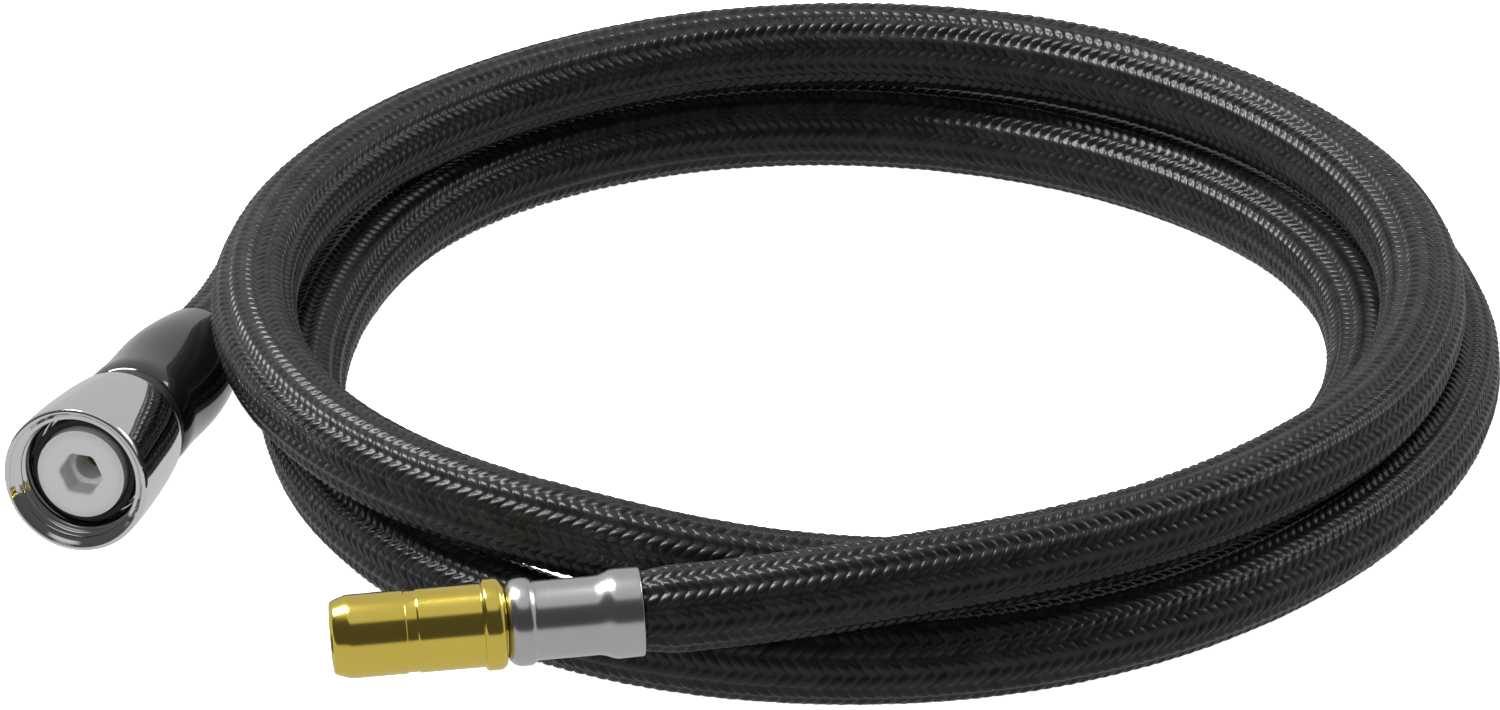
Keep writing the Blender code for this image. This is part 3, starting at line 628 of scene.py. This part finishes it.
def nut_outline():
    contour = smooth_profile([
        (0.6, NUT_RADIUS),
        (5.0, NUT_RADIUS - 0.09),
        (10.0, NUT_RADIUS - 0.35),
        (15.6, NUT_RADIUS - 0.77),
        (NUT_LENGTH - 5.5, 11.7),
        (NUT_LENGTH - 2.8, 11.36),
        (NUT_LENGTH - 1.1, 10.95),
        (NUT_LENGTH - 0.2, NUT_BACK_RADIUS + 0.15),
        (NUT_LENGTH - 0.02, NUT_BACK_RADIUS),
    ], 6)
    rim = rounded([(0.0, 12.1, 0.2), (0.0, 12.6, 0.25), (0.3, NUT_RADIUS - 0.02, 0.3)])
    back = [
        (NUT_LENGTH, NUT_BACK_RADIUS - 0.1),
        (NUT_LENGTH, NUT_BACK_BORE),
        (LIP_BACK, NUT_BACK_BORE),
        (LIP_BACK, LIP_BORE),
        (LIP_FRONT, LIP_BORE),
        (LIP_FRONT, THREAD_CREST),
    ]
    rings_per_turn = 16
    count = rings_per_turn // 2 * int((THREAD_END - THREAD_START) / THREAD_PITCH * 2)
    thread = np.linspace(THREAD_END + 0.5, THREAD_START - 0.1, count)
    thread = np.stack([thread, thread_crest(thread)], axis=1)
    mouth = rounded([(0.9, 11.35, 0.1), (0.3, 12.0, 0.15)])
    return backwards(np.concatenate([rim, contour, back, thread, mouth]))


def thread_cut(station, radius, angle):
    """How much deeper the thread is cut than its crests, along its helix."""
    depth = -station
    turn = (depth / THREAD_PITCH - angle / (2 * np.pi)) % 1.0
    groove = (0.5 - 0.5 * np.cos(2 * np.pi * turn)) * THREAD_HEIGHT
    fade_in = np.clip((depth - THREAD_START + 0.1) / 0.5, 0, 1)
    fade_out = np.clip((THREAD_END - depth) / 1.2, 0, 1)
    threaded = (np.abs(radius - thread_crest(depth)) < 1e-6) * 1.0
    return groove * fade_in * fade_out * threaded


def hexagon(angle, across_flats):
    """Distance from the middle to a hexagon's side, with its corners slightly rounded."""
    turned = (angle - SOCKET_TURN) % (np.pi / 3) - np.pi / 6
    flat = across_flats / 2
    return np.minimum(flat / np.cos(turned), flat / math.cos(math.pi / 6) * SOCKET_CORNER)


def nipple_outline():
    """The nipple's outside, then its bore with the snap ring's groove, up to the socket's floor."""
    outer = rounded([
        (NIPPLE_FRONT, NIPPLE_HEAD_RADIUS, 0.45),
        (FLANGE_FRONT, NIPPLE_HEAD_RADIUS, 0.1),
        (FLANGE_FRONT, FLANGE_RADIUS, 0.1),
        (FLANGE_BACK, FLANGE_RADIUS, 0.1),
        (FLANGE_BACK, NIPPLE_NECK_RADIUS, 0.1),
        (NIPPLE_BACK, NIPPLE_NECK_RADIUS, 0.2),
        (NIPPLE_BACK, NIPPLE_BORE),
    ])
    groove_back, groove_front, groove_radius = 27.5, 26.1, 5.95
    step, water_bore = 14.2, 2.7
    inner = [
        (groove_back, NIPPLE_BORE),
        (groove_back, groove_radius),
        (groove_front, groove_radius),
        (groove_front, NIPPLE_BORE),
        (step, NIPPLE_BORE),
        (step, water_bore),
        (SOCKET_FLOOR + 0.3, water_bore),
        (SOCKET_FLOOR, water_bore + 0.25),
    ]
    return np.concatenate([outer, inner])


def socket_rings():
    """Six-sided rings from the socket's floor to the front face, where its edge opens out."""
    angles = np.linspace(0, 2 * np.pi, SEGMENTS, endpoint=False)
    steps = (
        (SOCKET_FLOOR, 0.0),
        (SOCKET_FLOOR - 0.2, 0.0),
        (NIPPLE_FRONT + 0.6, 0.0),
        (NIPPLE_FRONT + 0.32, 0.06),
        (NIPPLE_FRONT + 0.12, 0.2),
        (NIPPLE_FRONT + 0.03, 0.38),
        (NIPPLE_FRONT, 0.6),
    )
    rings = []
    for station, spread in steps:
        radius = hexagon(angles, SOCKET_FLATS + 2 * spread)
        across, up = radius * np.cos(angles), radius * np.sin(angles)
        rings.append(np.stack([np.full(SEGMENTS, -station), across, up], axis=-1))
    return np.array(rings) * MM


def make_nipple(finish):
    face = [(NIPPLE_FRONT, radius) for radius in (4.6, 6.2, 7.0)]
    body = turned_points(backwards(nipple_outline()))
    rings = np.concatenate([body, socket_rings(), turned_points(backwards(face))])
    mesh = grid_mesh("nipple_moulding", rings)
    mesh.set_sharp_from_angle(angle=SHARP_ANGLE)
    add_piece("nipple_moulding", mesh, finish, "swivel", NUT_AXIS, ["nipple"])


def cone_outline():
    """The cover's front and outside, then its tail and its bore, back to the spigot's front."""
    contour = smooth_profile([
        (CONE_FRONT + 0.3, CONE_RADIUS - 0.3),
        (CONE_FRONT + 1.3, CONE_RADIUS - 0.05),
        (36.0, CONE_RADIUS),
        (49.0, CONE_RADIUS),
        (CONE_BACK - 12.0, CONE_RADIUS - 0.2),
        (CONE_BACK - 8.0, 9.6),
        (CONE_BACK - 4.0, 9.05),
        (CONE_BACK - 0.5, 8.5),
    ], 5)
    front = [(SPIGOT_FRONT, 8.55), (CONE_FRONT, 8.55), (CONE_FRONT, CONE_RADIUS - 0.6)]
    back = rounded([(CONE_BACK, 8.4, 0.15), (CONE_BACK, CONE_TAIL_BORE + 0.05, 0.15)])
    inside = [
        (CONE_BACK - 5.3, CONE_TAIL_BORE),
        (CONE_BACK - 6.8, CONE_CAVITY),
        (CONE_FRONT + 1.7, CONE_CAVITY),
        (CONE_FRONT + 0.7, 8.0),
        (CONE_FRONT + 0.5, 8.0),
        (CONE_FRONT, LIP_BORE),
        (SPIGOT_FRONT, LIP_BORE),
    ]
    return backwards(np.concatenate([front, contour, back, inside]))


def ring_outline(front, back, inside, outside, fillet=0.2):
    corners = [(front, inside, fillet), (front, outside, fillet)]
    corners += [(back, outside, fillet), (back, inside, fillet)]
    return backwards(rounded(corners))


def make_nut_end():
    chrome = turned_metal("nut_chrome", (0.80, 0.80, 0.81), (0.77, 0.77, 0.78), 0.05, 700.0, 0.0000008)
    white = moulded_plastic("nipple_acetal", (0.82, 0.82, 0.82), (0.78, 0.78, 0.78), 0.4, 900.0, 0.000008)
    black = moulded_plastic("cone_plastic", (0.012, 0.012, 0.012), (0.016, 0.016, 0.016), 0.12, 500.0,
                            0.000002, 0.4)
    rubber = moulded_plastic("seal_rubber", (0.012, 0.012, 0.012), (0.02, 0.02, 0.02), 0.55, 1500.0,
                             0.00001)
    acetal = moulded_plastic("glide_acetal", (0.74, 0.74, 0.7), (0.7, 0.7, 0.66), 0.4, 900.0, 0.000006)
    mesh = turned_mesh("union_nut_shell", nut_outline(), thread_cut)
    add_piece("union_nut_shell", mesh, chrome, "nut", NUT_AXIS, ["union_nut"])
    mesh = turned_mesh("cone_shell", cone_outline())
    add_piece("cone_shell", mesh, black, "swivel", NUT_AXIS, ["cone_sleeve"])
    # Each ring's front, back, bore and outside
    rings = (
        ("collar_seal", (26.4, 29.4, 9.0, 9.85), rubber, "soft_black", "collar_ring"),
        ("nipple_seal", (5.0, 7.1, 8.15, 9.25), rubber, "seal", "nipple_washer"),
        ("glide_ring", (9.8, 10.5, 7.5, 9.25), acetal, "acetal", "glide_washer"),
    )
    for name, sizes, finish, slot, node in rings:
        mesh = turned_mesh(name, ring_outline(*sizes))
        add_piece(name, mesh, finish, "swivel", NUT_AXIS, [node])
    make_nipple(white)


def dress_hidden_nodes():
    """The inner pieces stay as they are in the CAD, with their own materials."""
    liner = moulded_plastic("liner_rubber", (0.03, 0.03, 0.03), (0.05, 0.05, 0.05), 0.6, 700.0, 0.00001)
    stem = turned_metal("stem_brass", (0.72, 0.54, 0.22), (0.66, 0.5, 0.2), 0.25, 2200.0, 0.000004)
    steel = turned_metal("crimp_steel", (0.55, 0.55, 0.56), (0.5, 0.5, 0.51), 0.3, 1500.0, 0.000004)
    seal = moulded_plastic("o_ring_rubber", (0.012, 0.012, 0.012), (0.02, 0.02, 0.02), 0.5, 1500.0, 0.000006)
    finishes = {
        "hose_liner": liner,
        "swivel_stem": stem,
        "stem_ferrule": steel,
        "stem_snap_ring": steel,
        "stem_o_ring_front": seal,
        "stem_o_ring_back": seal,
    }
    for node, finish in finishes.items():
        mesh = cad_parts[node].data
        mesh.materials.clear()
        mesh.materials.append(finish)


# ---------------------------------------------------------------- camera, floor and light


def make_camera():
    data = bpy.data.cameras.new("camera")
    data.lens = CAMERA_LENS
    data.sensor_width = 36.0
    data.clip_start, data.clip_end = 0.1, 20.0
    camera = bpy.data.objects.new("camera", data)
    bpy.context.scene.collection.objects.link(camera)
    camera.location = Vector(LOOK_AT + CAMERA_SIDE * CAMERA_DISTANCE) * MM
    camera.rotation_euler = Vector(-CAMERA_SIDE).to_track_quat("-Z", "Y").to_euler()
    bpy.context.scene.camera = camera


def make_floor():
    half = FLOOR_WIDTH / 2
    corners = [(-half, -half, 0), (half, -half, 0), (half, half, 0), (-half, half, 0)]
    mesh = bpy.data.meshes.new("floor")
    mesh.from_pydata(corners, [], [(0, 1, 2, 3)])
    floor = bpy.data.objects.new("floor", mesh)
    bpy.context.scene.collection.objects.link(floor)
    made, _, shader = shader_tree("floor_paper", (0.9, 0.9, 0.9), 0.9)
    shader.inputs["Emission Color"].default_value = (1, 1, 1, 1)
    shader.inputs["Emission Strength"].default_value = 1.0
    mesh.materials.append(made)
    floor.visible_glossy = False
    floor.visible_diffuse = False


def area_light(name, place, size, power):
    """A rectangle of light in metres and watts, turned to the coil."""
    data = bpy.data.lights.new(name, "AREA")
    data.shape = "RECTANGLE"
    data.size, data.size_y = size
    data.energy = power
    light = bpy.data.objects.new(name, data)
    bpy.context.scene.collection.objects.link(light)
    light.location = place
    light.rotation_euler = (Vector(LIGHT_AIM) - Vector(place)).to_track_quat("-Z", "Y").to_euler()
    return light


def soft_step(tree, value, start, end):
    made = add_node(tree, "ShaderNodeMapRange", interpolation_type="SMOOTHSTEP", Value=value)
    made.inputs["From Min"].default_value = start
    made.inputs["From Max"].default_value = end
    return made.outputs["Result"]


def make_world():
    """White to the camera. As light: a pale table, backdrop and ceiling, and a dark room in front."""
    world = bpy.data.worlds.new("studio")
    bpy.context.scene.world = world
    world.use_nodes = True
    tree = world.node_tree
    direction = add_node(tree, "ShaderNodeTexCoord").outputs["Generated"]
    split = add_node(tree, "ShaderNodeSeparateXYZ", Vector=direction)
    table = maths(tree, "MULTIPLY", soft_step(tree, split.outputs["Z"], 0.02, -0.06), TABLE_LEVEL)
    sweep = maths(tree, "MULTIPLY", soft_step(tree, split.outputs["Y"], -0.12, 0.1), SWEEP_LEVEL)
    above = maths(tree, "MULTIPLY", soft_step(tree, split.outputs["Z"], 0.82, 0.9), OVERHEAD_LEVEL)
    pale = maths(tree, "MAXIMUM", table, sweep)
    level = maths(tree, "MAXIMUM", maths(tree, "MAXIMUM", pale, above), ROOM_LEVEL)
    seen = add_node(tree, "ShaderNodeLightPath").outputs["Is Camera Ray"]
    shown = maths(tree, "MAXIMUM", level, seen)
    tree.links.new(shown, tree.nodes["Background"].inputs["Color"])


def make_lights():
    area_light("long_strip", (-0.75, 0.1, 1.1), (0.35, 0.9), 30)
    area_light("right_back", (0.9, 0.8, 0.9), (0.5, 0.5), 5)
    fill = area_light("front_fill", (-0.3, -1.5, 0.5), (0.6, 0.6), 7.5)
    fill.visible_glossy = False  # it lights the pale nipple, and isn't mirrored in the metal
    make_world()


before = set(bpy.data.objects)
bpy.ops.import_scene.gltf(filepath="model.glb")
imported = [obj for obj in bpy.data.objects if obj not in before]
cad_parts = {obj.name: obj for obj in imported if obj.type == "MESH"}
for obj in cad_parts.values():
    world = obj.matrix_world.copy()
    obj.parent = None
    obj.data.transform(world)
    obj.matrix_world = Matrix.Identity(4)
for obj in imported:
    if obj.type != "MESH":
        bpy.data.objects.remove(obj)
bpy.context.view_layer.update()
bpy.context.scene.view_settings.view_transform = "Standard"
make_camera()
hose, hose_line = make_hose(braid_nylon())
plug_pieces = make_plug_end()
make_nut_end()
dress_hidden_nodes()
middle = hose_line.at(np.linspace(hose_line.length, 0, 200)) * MM  # from the nut to the plug
make_floor()
make_lights()
